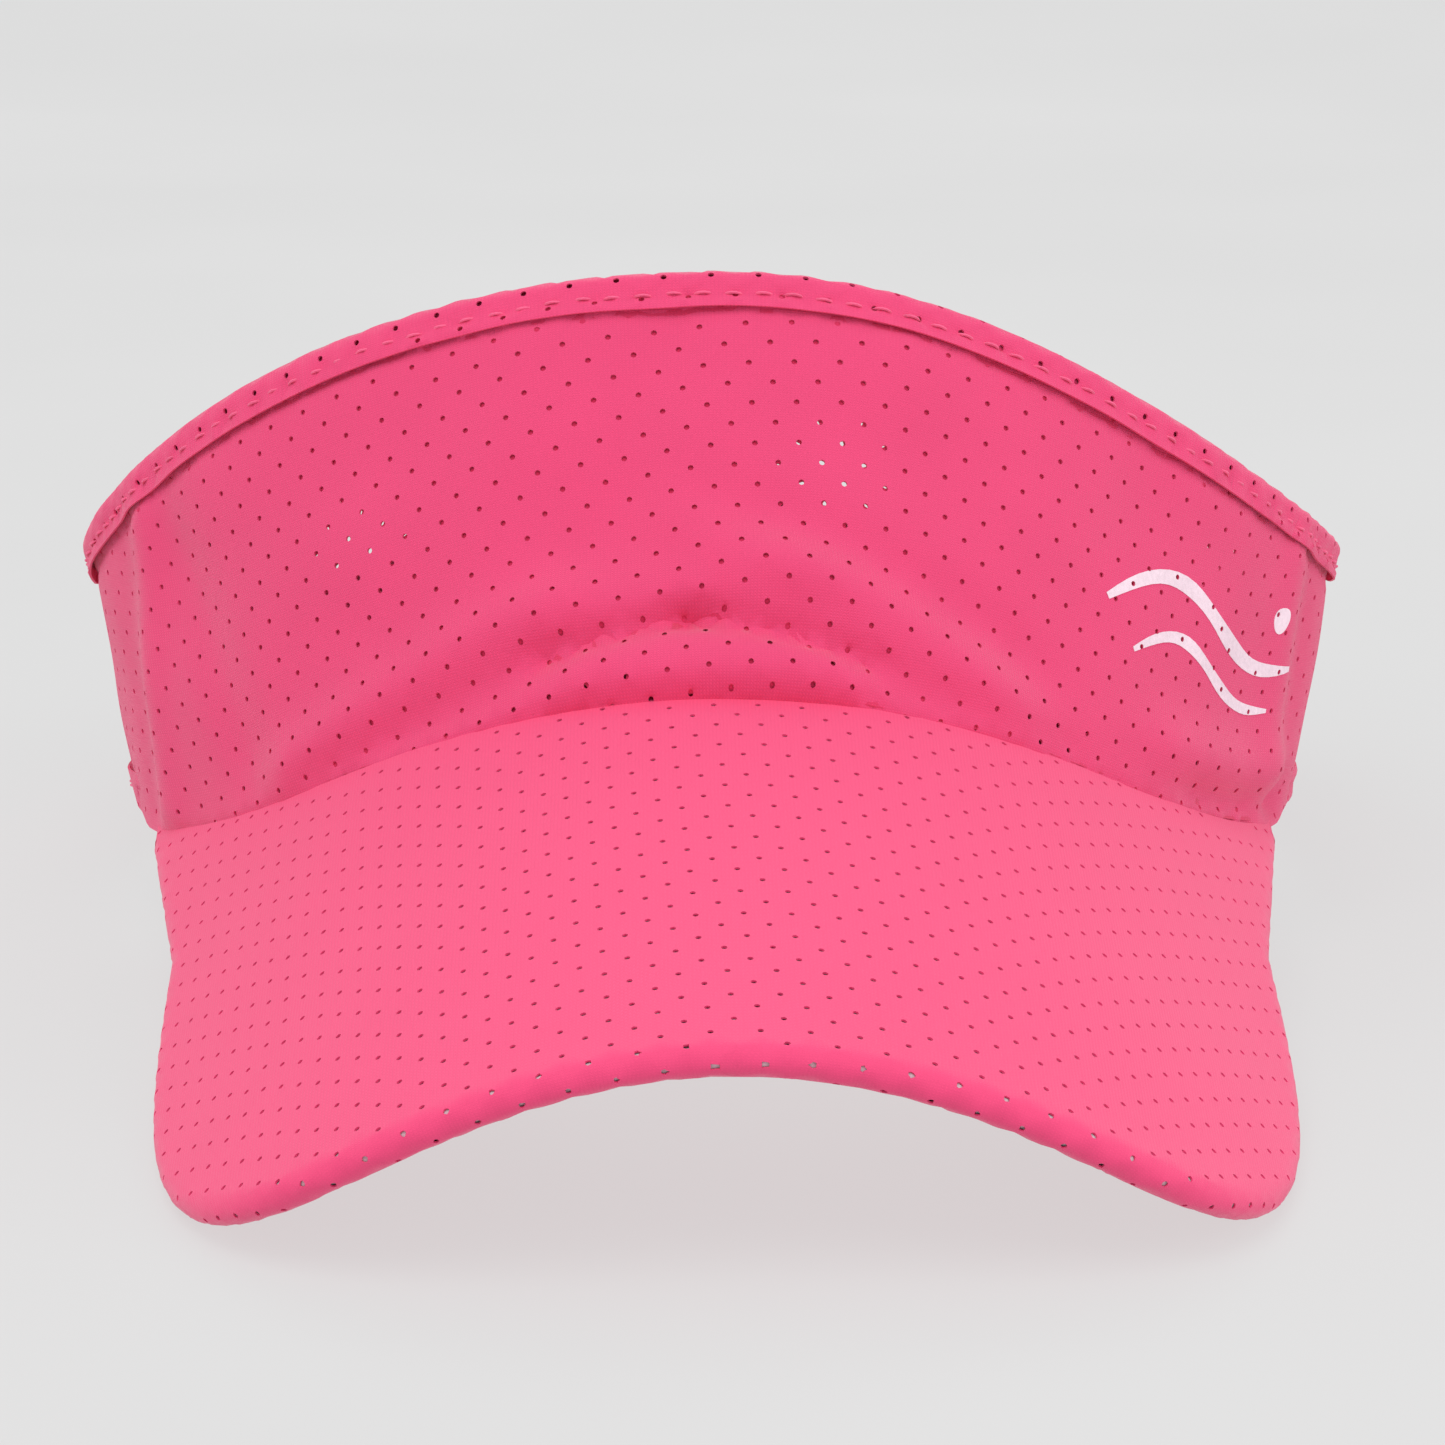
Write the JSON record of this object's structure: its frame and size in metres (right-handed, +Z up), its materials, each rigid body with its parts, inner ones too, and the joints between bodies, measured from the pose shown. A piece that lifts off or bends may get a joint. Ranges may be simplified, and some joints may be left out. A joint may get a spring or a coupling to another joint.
{
  "type": "sun visor",
  "caption": "Open-crowned sun visor: perforated knit head band, arched foam-cored brim, padded sweatband and a hook-and-loop rear closure.",
  "frame": {"origin": "below the middle of the visor's box, at the level of the surface it stands on", "axes": "+Z up, the brim points along -Y, +X towards the wearer's left, where the print is"},
  "size_m": [0.1802, 0.261, 0.0977],
  "materials": {
    "knit_band": "matt perforated polyester knit",
    "knit_lining": "matt perforated polyester knit",
    "knit_binding": "matt perforated polyester knit, folded and topstitched",
    "knit_brim": "smooth perforated knit bonded to foam",
    "brim_lining": "smooth knit bonded to foam",
    "brim_foam": "closed-cell foam",
    "foam": "soft open-cell foam",
    "terry": "looped terry",
    "tape": "woven tape",
    "strap": "folded knit strap, edge-stitched",
    "elastic": "ruched elastic",
    "loop_pile": "brushed loop pile",
    "hook_tape": "moulded hooks",
    "print_ink": "flat white screen print",
    "label": "blank satin label"
  },
  "bodies": {
    "root": {"band_shell": "knit_band", "band_lining": "knit_lining", "top_binding": "knit_binding", "side_hem_left": "knit_binding", "side_hem_right": "knit_binding", "brim_seam_tape": "tape", "sweatband_foam": "foam", "sweatband_terry": "terry", "care_label": "label", "print_wave_upper": "print_ink", "print_wave_lower": "print_ink", "print_dot": "print_ink", "brim_top_cover": "knit_brim", "brim_core": "brim_foam", "brim_under_cover": "brim_lining", "rear_strap_left": "strap", "rear_strap_right": "strap", "strap_joint_left": "tape", "strap_joint_right": "tape", "elastic_insert": "elastic", "loop_patch": "loop_pile"},
    "closure_tab": {"closure_tab": "strap"},
    "closure_flap": {"closure_flap": "strap", "hook_patch": "hook_tape"}
  },
  "joints": [
    {"name": "closure_adjust", "type": "slide", "parent": "root", "child": "closure_tab", "axis": [1, 0, 0], "range_m": [0, 0.018]},
    {"name": "closure_peel", "type": "hinge", "parent": "closure_tab", "child": "closure_flap", "pos_m": [-0.008, 0.13047, 0.0135], "axis": [0, 0, 1], "range_deg": [0, 150]}
  ]
}
